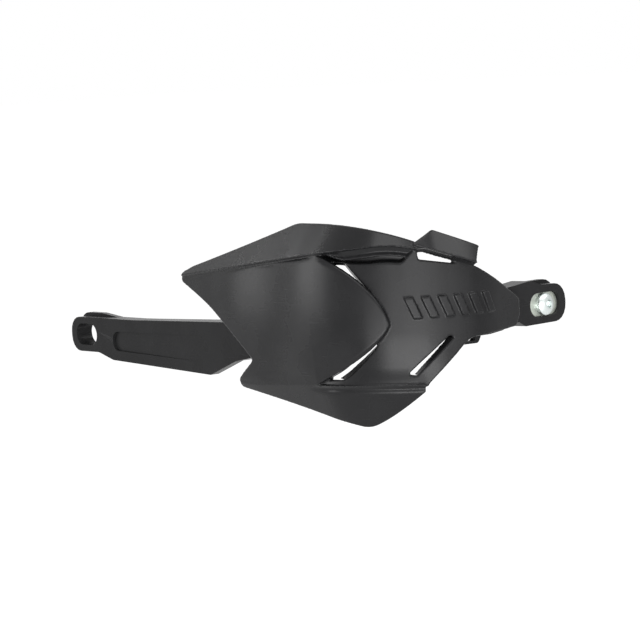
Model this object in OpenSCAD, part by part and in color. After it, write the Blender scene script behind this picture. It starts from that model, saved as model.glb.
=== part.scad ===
// Motorcycle hand guard for the left hand: a glass-filled nylon bar that wraps round the lever
// and a moulded shield screwed to it from behind.
// Frame: the origin is on the handlebar's axis at its end face, +X points out of the
// handlebar, -Y is the front and +Z is up.
// The bar and the shield follow one plan path: straight forward from the bar end, round the
// corner, then straight back towards the inboard eye. A place on it is given by s, the length
// along the bar's outer face from the bar-end bolt, out, the distance outward from that face,
// and z.

/* [Plan path] */
// Height of the bar's outer face above the handlebar's end face, along X
face_x = 16; // [14:0.5:22]
// Straight length from the bar-end bolt forward to the corner
reach = 54; // [46:1:70]
// Radius of the corner at the bar's outer face
corner_r = 58; // [50:1:66]
// Angle by which the inboard arm slants back, degrees
slant = 12; // [6:0.5:16]
// Straight length from the corner to the inboard eye's centre
inboard_len = 286; // [270:1:320]

/* [Bar] */
// Depth of the bar's channel from the outer face to the rear edge
bar_depth = 18; // [15:0.5:20]
// Thickness of the outer wall, which the shield sits on
bar_wall = 5; // [3.5:0.5:7]
// Thickness of the top and bottom flanges of the channel
flange_t = 3.5; // [2.5:0.5:5]
// Height of the bar from the bar end to the corner
bar_h = 25; // [22:0.5:28]
// Height of the deep plate in the middle of the inboard arm
plate_h = 33; // [30:0.5:38]
// Height of the inboard arm at its eye
tail_h = 23; // [20:0.5:26]
// How far the inboard eye lies below the bar end's axis
inboard_drop = 18.5; // [12:0.5:24]
// Thickness of the inboard eye from its outer face to its rear face
inboard_t = 12; // [10:0.5:16]
// Thickness of the ribs across the channel
rib_t = 3; // [2:0.5:4]
// Depth of the long recess in the inboard arm's face
recess_d = 2; // [1:0.25:3]
// Radius of the round corners in side view
corner_round = 4; // [2:0.5:6]

/* [Slots in the eyes] */
// Length of the bar-end slot
slot_l = 29; // [26:0.5:34]
// Height of both slots
slot_h = 14.4; // [13:0.2:16]
// Length of the inboard slot
inboard_slot_l = 25; // [20:0.5:27]
// Wall left round a slot's end
eye_wall = 6; // [4:0.5:8]
// Extra width of the collar behind each eye
collar_w = 2.5; // [1.5:0.5:4]
// Thickness of the collar behind each eye
collar_t = 4; // [3:0.5:6]

/* [Bar-end fixing] */
// Diameter of the bolt's shank
bolt_d = 8; // [6:0.5:9]
// Diameter of the bolt's domed head
head_d = 14; // [12:0.2:16]
// Height of the bolt's domed head
head_h = 4.4; // [3:0.1:6]
// Width across flats of the hexagon socket
socket_w = 5; // [4:0.5:6]
// Clearance round the shank in what it passes through
shank_gap = 0.25; // [0.1:0.05:0.5]
// Clearance round a thread in its nut or boss
thread_gap = 0.05; // [0.02:0.01:0.15]
// Outer diameter of the washer
washer_d = 13.2; // [12:0.2:14]
// Thickness of the washer
washer_t = 1.2; // [0.8:0.1:2]
// How far the insert's face lies below the bar's outer face
insert_sink = 2; // [1:0.25:4]
// Thickness of the insert's flange between the bar and the handlebar
insert_flange = 2; // [1.5:0.25:3]
// Clearance between the insert and its slot, each side
insert_gap = 0.15; // [0.05:0.05:0.4]
// Outer diameter of the expander in the handlebar's end
expander_d = 13.8; // [12:0.1:18]
// Length of the expander's split sleeve
expander_l = 26; // [20:1:40]
// Length of the cone nut behind the sleeve
cone_l = 12; // [8:1:18]
// Width of the saw cuts in the sleeve
saw_w = 1.6; // [1:0.1:2.5]
// Length of the saw cuts from the sleeve's inner end
saw_l = 12; // [8:1:22]

/* [Shield levels] */
// Wall thickness of the shield
shield_t = 2.6; // [2:0.1:3.5]
// Highest stand-off of the spear above the bar's face
spear_out = 19; // [16:0.5:24]
// Place along the path where the spear stands highest
spear_peak = 230; // [200:5:250]
// Vertical crown of the spear panel
spear_crown = 2.5; // [0:0.5:5]
// Stand-off of the body panel over the corner
body_out = 10; // [8:0.5:13]
// Stand-off of the body panel at its outboard end
body_end_out = 5.5; // [4:0.5:7]
// Setback of the brow per millimetre of height
brow_lean = 0.75; // [0.4:0.05:1]
// Setback of the lower flange per millimetre of height
chin_lean = 0.45; // [0.2:0.05:0.8]
// Step from the spear panel out to the brow
brow_step = 1.2; // [0.5:0.1:2]

/* [Shield outline] */
// Place of the upper inboard tip along the path
tip_s = 299.8; // [285:0.5:310]
// Height of the upper inboard tip
tip_z = 26; // [22:0.5:30]
// Place of the lower inboard tip along the path
heel_s = 240.2; // [232:0.1:250]
// Height of the lower inboard tip
heel_z = -38.4; // [-44:0.1:-36]
// Height of the top edge where it is highest
crown_z = 59.2; // [54:0.5:64]
// Lowest place of the lower edge
chin_z = -61; // [-70:0.5:-58]
// Place of the spear's point along the path
spear_s = 117.5; // [114:0.5:124]
// Height of the spear's point
spear_z = -1; // [-4:0.5:3]
// Outboard end of the body panel
end_s = 31.6; // [28:0.5:36]
// Length of the flap's lower lip along the path
flap_l = 30; // [26:0.5:34]
// Height of the flap above its lip at the inboard side
flap_h = 12.3; // [8:0.2:14]
// How far the flap's lip stands in front of the body panel
flap_out = 6; // [4:0.5:8]

/* [Shield fixing] */
// Diameter of the shield screws
screw_d = 5; // [4:0.5:6]
// Diameter of the screw heads
screw_head_d = 9; // [7:0.5:10]
// Height of the screw heads
screw_head_h = 3; // [2:0.25:4]
// Outer diameter of the screw washers
screw_washer_d = 10; // [9:0.5:12]
// Thickness of the screw washers
screw_washer_t = 1; // [0.8:0.1:1.5]
// Clearance round a washer in its flat seat
seat_gap = 0.3; // [0.1:0.05:0.5]
// Diameter of the bosses behind the shield
boss_d = 11; // [9:0.5:13]
// Length of thread in each boss
screw_bite = 7; // [5:0.5:9]

/* [Hidden] */
bar_col = [0.13, 0.13, 0.13];
shield_col = [0.16, 0.16, 0.165];
steel_col = [0.78, 0.80, 0.79];
eps = 0.01;

// Plan path
corner_turn = 90 + slant;
corner_len = corner_r * corner_turn * PI / 180;
corner_x = face_x - corner_r;
corner_y = -reach;
arm_s = reach + corner_len;
arm_x = corner_x + corner_r * cos(corner_turn);
arm_y = corner_y - corner_r * sin(corner_turn);

// Turn of the outward normal from +X towards the front, degrees
function turn_at(s) = max(0, min(corner_turn, (s - reach) / corner_r * 180 / PI));
function past_corner(s) = min(s - reach, 0) + max(s - arm_s, 0);
// The point at length s, out from the bar's face, at height z
function at(s, out, z) =
    let (t = turn_at(s), e = past_corner(s))
    [corner_x + (corner_r + out) * cos(t) - e * sin(t),
     corner_y - (corner_r + out) * sin(t) - e * cos(t),
     z];

// General shaping functions
function mix(a, b, t) = a + (b - a) * t;
function ramp(a, b, x) = let (t = max(0, min(1, (x - a) / (b - a)))) t * t * (3 - 2 * t);
function soft_min(a, b, k) = let (h = max(k - abs(a - b), 0) / k) min(a, b) - h * h * k / 4;
function soft_max(a, b, k) = -soft_min(-a, -b, k);
function bend(p, q, r, t) = p * (1 - t) * (1 - t) + q * 2 * t * (1 - t) + r * t * t;
function steps(a, b, n) = [for (i = [0 : n]) a + (b - a) * i / n];

// A polygon with its corners rounded: each point is [x, y, radius]
function rounded(pts, n = 5) = [
    for (i = [0 : len(pts) - 1])
        let (
            p = [pts[i][0], pts[i][1]],
            a = [for (k = [0, 1]) pts[(i + len(pts) - 1) % len(pts)][k]] - p,
            b = [for (k = [0, 1]) pts[(i + 1) % len(pts)][k]] - p,
            r = pts[i][2],
            ua = a / norm(a),
            ub = b / norm(b),
            half = acos(max(-1, min(1, ua * ub))) / 2,
            c = p + (ua + ub) / norm(ua + ub) * r / sin(half),
            ta = p + ua * r / tan(half) - c,
            tb = p + ub * r / tan(half) - c
        )
        for (k = [0 : (r > 0 ? n : 0)])
            r > 0 ? c + (ta * sin((1 - k / n) * (90 - half) * 2) + tb * sin(k / n * (90 - half) * 2))
                        / sin((90 - half) * 2)
                  : p
];

// Placing: local x runs along the path, local y points outward, local z is up
module on_outboard() translate([face_x, -reach, 0]) rotate([0, 0, -90]) children();
module on_corner(s) translate(at(s, 0, 0)) rotate([0, 0, -90 - turn_at(s)]) children();
module on_inboard() translate([arm_x, arm_y, 0]) rotate([0, 0, -90 - corner_turn]) children();
// A side-view outline made solid between two distances inward from the outer face
module plate(pts, from, to) translate([0, -from, 0]) rotate([90, 0, 0]) linear_extrude(to - from)
    polygon(pts);
// A slot's outline, l long and h high, as a solid along local -y
module slot_prism(l, h, depth) rotate([90, 0, 0]) linear_extrude(depth) slot_outline(l, h);
module slot_outline(l, h) {
    square([l - h, h], center = true);
    for (side = [-1, 1]) translate([side * (l - h) / 2, 0]) circle(d = h, $fn = 48);
}

// Bar
// The straight arms run this far into the corner, so that they are one piece with it
lap = 0.2;
eye_end = slot_l / 2 + eye_wall;
eye_half = slot_h / 2 + 4.4;
outboard_depth = face_x - insert_flange;
inboard_end = inboard_len + inboard_slot_l / 2 + eye_wall;
tail_top = -inboard_drop + tail_h / 2;
tail_low = -inboard_drop - tail_h / 2;
plate_low = tail_top + 1 - plate_h;
arm_top = [[0, bar_h / 2], [120, tail_top + 2.4], [228, tail_top], [inboard_end, tail_top]];
arm_low = [[0, -bar_h / 2], [94, tail_low + 4], [112, tail_low + 1], [141, plate_low],
           [inboard_len - 31, tail_low - 4.5], [inboard_len - 14, tail_low]];
outboard_side = rounded([
    [-reach - eye_end, eye_half, eye_half - 1],
    [-reach + 2, eye_half + 0.4, 12],
    [-reach + 13, bar_h / 2 + 3, 8],
    [-reach + 28, bar_h / 2 + 1.6, 14],
    [lap, bar_h / 2, 0],
    [lap, -bar_h / 2, 0],
    [-reach + 42, -bar_h / 2 + 1, 8],
    [-reach + 34, -bar_h / 2 + 4, 5],
    [-reach + 26, -bar_h / 2 + 4, 3],
    [-reach + 20, -eye_half, 2.5],
    [-reach - eye_end, -eye_half, eye_half - 1]
]);
inboard_side = rounded([
    [-lap, bar_h / 2, 0],
    [120, tail_top + 2.4, 40],
    [228, tail_top, 40],
    [inboard_end, tail_top, tail_h / 2 - 1.5],
    [inboard_end, tail_low, tail_h / 2 - 1.5],
    [inboard_len - 14, tail_low, 12],
    [inboard_len - 31, tail_low - 4.5, 14],
    [141, plate_low, corner_round],
    [112, tail_low + 1, 10],
    [94, tail_low + 4, 20],
    [-lap, -bar_h / 2, 0]
]);
// Below the lower flange, the plate's lower corner is a thin fin up to here
fin_end = 160;
fin_t = 6;
// Rib places along the inboard arm, and the cells of the corner's channel
arm_ribs = [4, 33, 62, 91, 113, 136, fin_end, 181, 205, 231, inboard_len - 24];
corner_cells = 6;
cell_turn = corner_turn / corner_cells;
rib_turn = rib_t / (corner_r - bar_depth) * 180 / PI;
// Screw places: [s, z], each in the middle of a cell of the channel
screws = [
    [reach + corner_len * 0.5 / corner_cells, 0],
    [reach + corner_len * 3.5 / corner_cells, 0],
    for (k = [0, 1])
        let (a = (arm_ribs[k] + arm_ribs[k + 1]) / 2)
        [arm_s + a, (lookup(a, arm_top) + lookup(a, arm_low)) / 2]
];

module arm_pocket(from, to, depth) {
    pad = rib_t / 2;
    function floor_at(a) = max(lookup(a, arm_low), a < fin_end ? tail_low + 1 : plate_low);
    plate(rounded([
        [from + pad, floor_at(from + pad) + flange_t, 2],
        [to - pad, floor_at(to - pad) + flange_t, 2],
        [to - pad, lookup(to - pad, arm_top) - flange_t, 2],
        [from + pad, lookup(from + pad, arm_top) - flange_t, 2]
    ], 3), bar_wall, depth);
}
module outboard_arm() on_outboard() difference() {
    union() {
        plate(outboard_side, 0, outboard_depth);
        // Deeper channel ahead of the handlebar's end
        plate([[-26, bar_h / 2 - 0.5], [0, bar_h / 2], [0, -bar_h / 2], [-12, -bar_h / 2 + 1.6],
               [-26, -bar_h / 2 + 4.5]], outboard_depth - 1, bar_depth);
        // Collar that bears on the insert's flange
        plate(rounded([
            [-reach - eye_end - collar_w, eye_half + collar_w, eye_half],
            [-reach + 22, eye_half + collar_w, 3],
            [-reach + 22, -eye_half, 3],
            [-reach - eye_end - collar_w, -eye_half, eye_half - 1]
        ]), outboard_depth - collar_t, outboard_depth);
    }
    translate([-reach, 1, 0]) slot_prism(slot_l, slot_h, outboard_depth + 2);
    plate(rounded([
        [-26, -bar_h / 2 + 4 + flange_t, 2],
        [-rib_t, -bar_h / 2 + flange_t, 2],
        [-rib_t, bar_h / 2 - flange_t, 2],
        [-26, bar_h / 2 - flange_t, 2]
    ], 3), bar_wall, bar_depth + 1);
    // Window through the top flange
    translate([-24, -bar_wall - 7, bar_h / 2 - 6]) cube([12, 7, 12]);
}
module corner() translate([corner_x, corner_y, 0]) difference() {
    rotate([0, 0, -corner_turn]) rotate_extrude(angle = corner_turn, $fn = 180)
        translate([corner_r - bar_depth, -bar_h / 2]) square([bar_depth, bar_h]);
    for (k = [0 : corner_cells - 1])
        rotate([0, 0, -(k + 1) * cell_turn + rib_turn / 2])
            rotate_extrude(angle = cell_turn - rib_turn, $fn = 180)
                translate([corner_r - bar_depth - 1, -bar_h / 2 + flange_t])
                    square([bar_depth - bar_wall + 1, bar_h - 2 * flange_t]);
}
module inboard_arm() on_inboard() difference() {
    plate(inboard_side, 0, bar_depth);
    translate([0, 0, plate_low - 1]) linear_extrude(tail_low + 1 - (plate_low - 1))
        polygon([[104, -fin_t], [143, -fin_t], [fin_end, -bar_depth - 1], [104, -bar_depth - 1]]);
    // The channel gets shallower towards the eye
    translate([0, 0, -100]) linear_extrude(200) polygon([
        [40, -bar_depth], [210, -inboard_t], [inboard_end + 10, -inboard_t],
        [inboard_end + 10, -bar_depth - 5], [40, -bar_depth - 5]
    ]);
    for (k = [0 : len(arm_ribs) - 2]) arm_pocket(arm_ribs[k], arm_ribs[k + 1], bar_depth + 1);
    translate([inboard_len, 1, -inboard_drop]) slot_prism(inboard_slot_l, slot_h, bar_depth + 2);
    // Long recess in the face, deepest near the eye
    translate([150, 0, 0]) rotate([0, 0, -atan(recess_d / 106)]) plate(rounded([
        [104, tail_top - 8.5, 6],
        [0, tail_top - 7, 6],
        [0, tail_top - 24, 6],
        [104, tail_top - 21, 6]
    ]), -4, 0);
}
// Collar behind the inboard eye
module inboard_collar() on_inboard() difference() {
    plate(rounded([
        [inboard_end + 0.5, tail_top + 2.3, tail_h / 2 - 1],
        [inboard_end + 0.5, tail_low, tail_h / 2 - 1],
        [inboard_len - 20, tail_low, 6],
        [inboard_len - 32, tail_top - 3, 3],
        [inboard_len - 32, tail_top - 0.4, 2],
        [inboard_len - 8, tail_top + 2.3, 12]
    ]), inboard_t - collar_t, inboard_t);
    translate([inboard_len, 1, -inboard_drop]) slot_prism(inboard_slot_l, slot_h, bar_depth + 2);
}
// Small tie loop under the corner
module tie_loop() on_corner(reach + 15) difference() {
    plate(rounded([[-8, -bar_h / 2 + 2, 0], [8, -bar_h / 2 + 2, 0], [8, -bar_h / 2 - 2, 2],
                   [5, -bar_h / 2 - 4.5, 2.5], [-6, -bar_h / 2 - 4.5, 2.5], [-8, -bar_h / 2 - 1, 1]]),
          3, 8);
    translate([0, 0, -bar_h / 2 - 1.6]) slot_prism(8, 2.4, 20);
}
module bar() color(bar_col) difference() {
    union() {
        outboard_arm();
        corner();
        inboard_arm();
        inboard_collar();
        tie_loop();
    }
    // Screw holes, each with a flat seat for its washer
    for (p = screws) on_corner(p[0]) translate([0, 1, p[1]]) rotate([90, 0, 0]) {
        cylinder(d = screw_d + 2 * shank_gap, h = bar_wall + 2, $fn = 48);
        translate([0, 0, bar_wall + 1]) cylinder(d = screw_washer_d + 2 * seat_gap, h = 4, $fn = 48);
    }
}

// Fixing at the bar end, all on the handlebar's axis
seat_x = face_x - insert_sink;
bolt_tip_x = -expander_l - cone_l + 2;
cone_in = 5;
sleeve_seat = 0.5;
sleeve_room = 1;
cone_d = expander_d - 1;
module along_x(from) translate([from, 0, 0]) rotate([0, 90, 0]) children();
module shank_hole(from, to) along_x(from - 1)
    cylinder(d = bolt_d + 2 * shank_gap, h = to - from + 2, $fn = 64);
module outer_insert() color(steel_col) difference() {
    union() {
        translate([seat_x, 0, 0]) rotate([0, 0, -90])
            slot_prism(slot_l - 2 * insert_gap, slot_h - 2 * insert_gap, seat_x - insert_flange + eps);
        along_x(0) cylinder(d = slot_h + 8, h = insert_flange, $fn = 64);
    }
    shank_hole(0, seat_x);
    // Shallow counterbore round the sleeve's end
    along_x(-1) cylinder(d = expander_d + 2 * sleeve_room, h = 1 + sleeve_seat, $fn = 64);
}
module bar_end_washer() color(steel_col) difference() {
    along_x(seat_x) cylinder(d = washer_d, h = washer_t, $fn = 64);
    shank_hole(seat_x, seat_x + washer_t);
}
module bar_end_bolt() color(steel_col) {
    head_x = seat_x + washer_t;
    rim_h = 1;
    dome = [for (t = steps(0, 90, 8)) [head_d / 2 * cos(t), rim_h + (head_h - rim_h) * sin(t)]];
    difference() {
        union() {
            along_x(head_x) rotate_extrude($fn = 64) polygon(concat([[0, 0], [head_d / 2 - 0.4, 0]], dome));
            along_x(bolt_tip_x) cylinder(d = bolt_d, h = head_x - bolt_tip_x + 0.5, $fn = 64);
        }
        along_x(head_x + head_h - 2.6) cylinder(d = socket_w / cos(30), h = 5, $fn = 6);
    }
}
module expander_sleeve() color(steel_col) difference() {
    along_x(-expander_l) cylinder(d = expander_d, h = expander_l + sleeve_seat, $fn = 64);
    shank_hole(-expander_l, sleeve_seat);
    // Tapered mouth for the cone nut
    along_x(-expander_l - eps) cylinder(d1 = expander_d - 2.4, d2 = bolt_d, h = cone_in + 3, $fn = 64);
    for (turn = [0, 90]) rotate([turn, 0, 0])
        translate([-expander_l - 1, -saw_w / 2, -expander_d]) cube([saw_l + 1, saw_w, 2 * expander_d]);
}
module expander_cone() color(steel_col) difference() {
    nose_gap = 0.3;
    union() {
        along_x(-expander_l - cone_l + cone_in)
            cylinder(d = cone_d, h = cone_l - cone_in - nose_gap, $fn = 64);
        along_x(-expander_l - nose_gap - eps)
            cylinder(d1 = expander_d - 3, d2 = bolt_d + 1, h = cone_in, $fn = 64);
    }
    along_x(-expander_l - cone_l - 1) cylinder(d = bolt_d + 2 * thread_gap, h = 3 * cone_l, $fn = 64);
}

// Shield levels: how far each surface stands out from the bar's face
function spear_level(s) = spear_out - pow((s - spear_peak) / 127, 2) * 6;
function body_level(s) = body_out - (body_out - body_end_out) * pow(max(0, 170 - s) / (170 - end_s), 2);
function chin_level(s) = mix(body_level(s) + 1.2, spear_level(s) - brow_step, ramp(118, 161, s));
function flap_level(s) = body_level(s) + flap_out - 1.5 * ramp(92, 103, s);

// Shield outlines, each a height above the axis as a function of the place along the path
wing_s = 157;
function brow_line(s) = soft_min(tip_z + (tip_s - s) * 0.112, 43 + (s - flap_end) * 0.25, 3);
function front_rise(s) = tip_z + 6 + (tip_s - 10 - s) * 0.245 + 0.00028 * pow(tip_s - 10 - s, 2);
function crown_fall(s) = crown_z - 0.0000275 * pow(max(0, 178 - s), 3);
function tip_round(s) =
    let (e = s - tip_s + 3.6)
    tip_z - 0.6 + (e > 0 ? sqrt(16 - e * e) : 4 - 0.42 * e);
function top_edge(s) = soft_min(soft_min(front_rise(s), crown_fall(s), 1.5), tip_round(s), 0.5);
function chin_line(s) = heel_z + 2.4 - 0.00045 * pow(s - 140, 2);
function heel_round(s) =
    let (e = s - heel_s + 3.2)
    heel_z - 0.2 - (e > 0 ? sqrt(12.25 - e * e) : 3.5 - e);
function low_rise(s) = heel_z - 4.3 - 0.16 * (heel_s - 7 - s) - 0.00063 * pow(heel_s - 7 - s, 2);
function low_tail(s) = chin_z + 0.43 * (130 - s) + 0.0081 * pow(max(0, 130 - s), 2);
function low_edge(s) = soft_max(soft_max(low_rise(s), low_tail(s), 4), heel_round(s), 0.5);
function lip_line(s) = mix(32, 45, (s - flap_s) / flap_l);
function flap_top(s) = soft_min(soft_min(lip_line(s) + flap_h, 47.4 + (flap_end - s) * 0.68, 1),
                                40 + (s - flap_s + flap_slant - 0.5) * 1.6, 1);
flap_s = 71.5;
flap_slant = 5.8;
flap_end = flap_s + flap_l + 1;

// A thick sheet between two grids of points, without the cells that are false in keep.
// The outer grid is seen from outside with its first index running to the left and its
// second index running down.
module shell(outer, inner, keep = undef) {
    ni = len(outer);
    nj = len(outer[0]);
    n = ni * nj;
    function live(i, j) = i >= 0 && j >= 0 && i < ni - 1 && j < nj - 1
                          && (keep == undef || keep[i][j]);
    pts = [for (g = [outer, inner]) for (row = g) for (p = row) p];
    // Each cell is split along the diagonal that runs the least round the corner
    function reach_of(a, b) = norm([pts[a][0] - pts[b][0], pts[a][1] - pts[b][1]]);
    function quad(a, b, c, d) = reach_of(a, c) <= reach_of(b, d) ? [[a, b, c], [a, c, d]]
                                                               : [[a, b, d], [b, c, d]];
    faces = [
        for (i = [0 : ni - 2]) for (j = [0 : nj - 2]) if (live(i, j))
            let (a = i * nj + j, b = a + 1, c = a + nj + 1, d = a + nj)
            each concat(
                quad(a, b, c, d),
                quad(n + d, n + c, n + b, n + a),
                live(i - 1, j) ? [] : quad(b, a, n + a, n + b),
                live(i, j + 1) ? [] : quad(c, b, n + b, n + c),
                live(i + 1, j) ? [] : quad(d, c, n + c, n + d),
                live(i, j - 1) ? [] : quad(a, d, n + d, n + a)
            )
    ];
    polyhedron(pts, faces);
}

// The front sheet: brow, spear and chin. Its spear ends in a point, and its brow and chin run on.
// Columns: short of the spear, along the spear's edges, and on to the inboard edge
finger_cols = 4;
edge_cols = 14;
wide_cols = 15;
brow_rows = 5;
spear_rows = 15;
chin_rows = 5;
chin_wing_s = wing_s + 4;
square_s = 166;
// Where the brow and the chin begin, and the spear just inside its point
finger_s = 101.2;
point_s = spear_s + 0.2;
// The step under the brow and the crease above the chin
step_row = brow_rows;
crease_row = brow_rows + 1 + spear_rows;
front_cols = finger_cols + edge_cols + 2 + wide_cols;
front_rows = crease_row + 1 + chin_rows;
// Height of a curved edge at a place along the path: p, q and r are its control points
function height_at(p, q, r, s) =
    let (a = p[0] - 2 * q[0] + r[0], b = 2 * (q[0] - p[0]), c = p[0] - s, d = sqrt(max(0, b * b - 4 * a * c)))
    bend(p[1], q[1], r[1], 2 * c / (d - b));
function spear_top(s) = s >= wing_s ? brow_line(s) - 0.3
    : height_at([wing_s, brow_line(wing_s) - 0.3], [spear_s + 4.5, spear_z + 26], [spear_s, spear_z], s);
function spear_low(s) = s >= chin_wing_s ? chin_line(s)
    : height_at([chin_wing_s, chin_line(chin_wing_s)], [spear_s + 7, spear_z - 18], [spear_s, spear_z], s);
function panel_level(s, w) =
    let (full = min(1, (spear_top(s) - spear_low(s)) / (spear_top(chin_wing_s) - spear_low(chin_wing_s))))
    spear_level(s) - brow_step + spear_crown * full * full * 4 * w * (1 - w);
// The inboard edge from the tip to the heel: it rounds the tip, bends to the notch, runs straight
// out and rounds the heel
edge_points = [[tip_s, tip_z - 0.3], [tip_s - 1.9, tip_z - 4.2], [heel_s - 16.9, heel_z + 14.2],
               [heel_s - 1.2, heel_z + 2.6], [heel_s, heel_z]];
edge_bends = [[tip_s + 0.8, tip_z - 2.7], [tip_s - 48.8, tip_z - 22.5], [heel_s - 9, heel_z + 8.4],
              [heel_s + 0.2, heel_z + 1.4]];
edge_w = [0, 2 / 15, 12 / 15, 14 / 15, 1];
function inboard_edge(w) =
    let (
        k = w < edge_w[1] ? 0 : w < edge_w[2] ? 1 : w < edge_w[3] ? 2 : 3,
        t = (w - edge_w[k]) / (edge_w[k + 1] - edge_w[k])
    )
    [for (c = [0, 1]) bend(edge_points[k][c], edge_bends[k][c], edge_points[k + 1][c], t)];
// Place of a column along the path, which for the wide columns runs to the given end
function column(i, end) =
    i <= finger_cols ? mix(finger_s, point_s, i / finger_cols)
    : i <= finger_cols + edge_cols ? mix(point_s, wing_s, pow((i - finger_cols) / edge_cols, 1.4))
    : i == finger_cols + edge_cols + 1 ? chin_wing_s
    : mix(square_s, end, (i - finger_cols - edge_cols - 2) / wide_cols);
function front_point(i, j, t) =
    let (u = max(0, (i - finger_cols - edge_cols - 2) / wide_cols))
    j <= step_row
        ? let (s = max(flap_end, column(i, tip_s)), z = mix(top_edge(s), brow_line(s), j / brow_rows))
          at(s, spear_level(s) - brow_lean * (z - brow_line(s)) - t, z)
    : j <= crease_row
        ? let (
              w = (j - step_row - 1) / spear_rows,
              s = column(min(i, front_cols - wide_cols), tip_s),
              p = [for (k = [0, 1]) mix([s, mix(spear_top(s), spear_low(s), w)][k], inboard_edge(w)[k], u)]
          )
          at(p[0], panel_level(p[0], w) - t, p[1])
        : let (
              s = column(i, heel_s),
              start = mix(chin_line(s), heel_z, u * u) - 0.6,
              z = mix(start, low_edge(s), (j - crease_row - 1) / chin_rows)
          )
          at(s, chin_level(s) - 0.1 - chin_lean * (start - z) - t, z);
module front_sheet() {
    function grid(t) = [for (i = [0 : front_cols]) [for (j = [0 : front_rows]) front_point(i, j, t)]];
    shell(grid(0), grid(shield_t), [
        for (i = [0 : front_cols - 1]) [
            for (j = [0 : front_rows - 1])
                j < step_row || j > crease_row
                || (j == step_row && i >= finger_cols + edge_cols)
                || (j == crease_row && i > finger_cols + edge_cols)
                || (j > step_row && j < crease_row && i >= finger_cols)
        ]
    ]);
}

// The body panel behind it: a dark groove under the brow, and a hem that runs under the chin.
body_cols = 34;
body_rows = 10;
under_s = 168;
groove_deep = 5;
function groove_at(s) = groove_deep * ramp(flap_end, flap_end + 5, s);
function body_top(s) = s > flap_end ? brow_line(s) + 1
    : soft_min(mix(28.9, 37, (s - 65.5) / 37), mix(5, 28.9, (s - 33) / 32.5), 3);
function groove_line(s) = s > flap_end
    ? brow_line(s) - mix(1, 10, ramp(flap_end, flap_end + 9, s)) + 4 * ramp(125, 155, s)
    : body_top(s) - 1.5;
function body_low(s) = soft_min(soft_max(-9.4 - (s - 35) * 0.065, -3 - (s - end_s) * 1.6, 2),
                                -14.2 - (s - 77.6) * 1.08, 4);
hem = 2.2;
function body_bottom(s) = s > 99 ? chin_line(s) - hem : max(body_low(s), chin_line(s) - hem);
function body_out_at(s, z) =
    mix(body_level(s), chin_level(s) - mix(1.9, 2.4, ramp(115, 150, s)),
        s < 99 ? 0 : ramp(99, 108, s) * ramp(chin_line(s) + 10, chin_line(s), z));
function body_place(s, j) =
    let (
        top = body_top(s),
        g = groove_line(s),
        deep = groove_at(s),
        low = g - 1.5,
        z = [top, min(top - 0.4, g + 1.2), min(top - 0.8, g + 0.4), min(top - 1.2, g - 0.4)]
    )
    j < 4 ? [z[j], body_out_at(s, z[j]) - [deep, deep, 0.8, 0][j]]
    : let (zz = mix(low - 3, body_bottom(s), (j - 4) / body_rows)) [zz, body_out_at(s, zz)];
function body_s(i) = mix(end_s, under_s, i / body_cols);
module body_sheet() {
    rows = body_rows + 4;
    function grid(t) = [
        for (i = [0 : body_cols]) [
            for (j = [0 : rows])
                let (
                    s = body_s(i),
                    p = body_place(s, j),
                    drop = j > 0 && j < 4 ? t * groove_at(s) / groove_deep : 0
                )
                at(s, p[1] - t, p[0] - drop)
        ]
    ];
    shell(grid(0), grid(shield_t));
}

// The flap over the slot at the top
module flap_sheet() {
    cols = 12;
    rows = 4;
    lean = 0.6;
    // Its outboard end slants, and the slant is gone by the other end
    function grid(t) = [
        for (u = steps(0, 1, cols)) [
            for (v = steps(1, 0, rows))
                let (
                    foot = mix(flap_s + 0.5, flap_end + 1, u),
                    s = foot - flap_slant * v * pow(1 - u, 2),
                    z = mix(lip_line(foot), flap_top(s), v)
                )
                at(s, flap_level(s) - lean * (z - lip_line(foot)) - t, z)
        ]
    ];
    shell(grid(0), grid(shield_t));
}
// The rolled lip under the brow and the flap: in, down a dark band, and in again
module rolled_lip(from, to, n) {
    web = 2.2;
    band = mix(3, 5.5, from > flap_end ? 1 : 0);
    function sink(s) = from > flap_end ? 1.4 * (1 - ramp(flap_end + 2, 130, s)) : 0;
    function line(s) = s > flap_end + 1 ? brow_line(s) : min(lip_line(s), brow_line(flap_end + 1));
    function level(s) = s > flap_end + 1 ? spear_level(s) : flap_level(s);
    function depth(s) = 1 - ramp(138, wing_s, s);
    function back(s) = s > flap_end ? body_level(s) - groove_deep - 1 : body_level(s) - 1.5;
    // Each row starts inside the sheet above, so that the two are one piece
    function row(s, inner) =
        let (z = line(s), lv = level(s), k = depth(s), e = inner ? web : 0)
        [
            at(s, lv - (inner ? 0.9 + brow_lean * (web + 0.5) : 0.8), z + 0.5 + e),
            at(s, lv - 3.1 - sink(s) - e, z - 0.3 + e),
            at(s, lv - 3.6 - sink(s) - e, z - band * k - 0.5 + e),
            at(s, back(s), z - band * k - 0.1 + e)
        ];
    shell([for (s = steps(from, to, n)) row(s, false)], [for (s = steps(from, to, n)) row(s, true)]);
}

// A wall that joins the spear's edge to the body panel behind it, along its upper edge or its
// lower one
module spear_web(from, to, upper, n = 4) {
    web = 2.2;
    function row(s, e) =
        let (z = upper ? spear_top(s) : spear_low(s))
        [at(s + e, panel_level(s, 0) - 0.8, z), at(s + e, body_level(s) - shield_t + 0.3, z)];
    path = upper ? steps(to, from, n) : steps(from, to, n);
    shell([for (s = path) row(s, 0)], [for (s = path) row(s, web)]);
}
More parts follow.
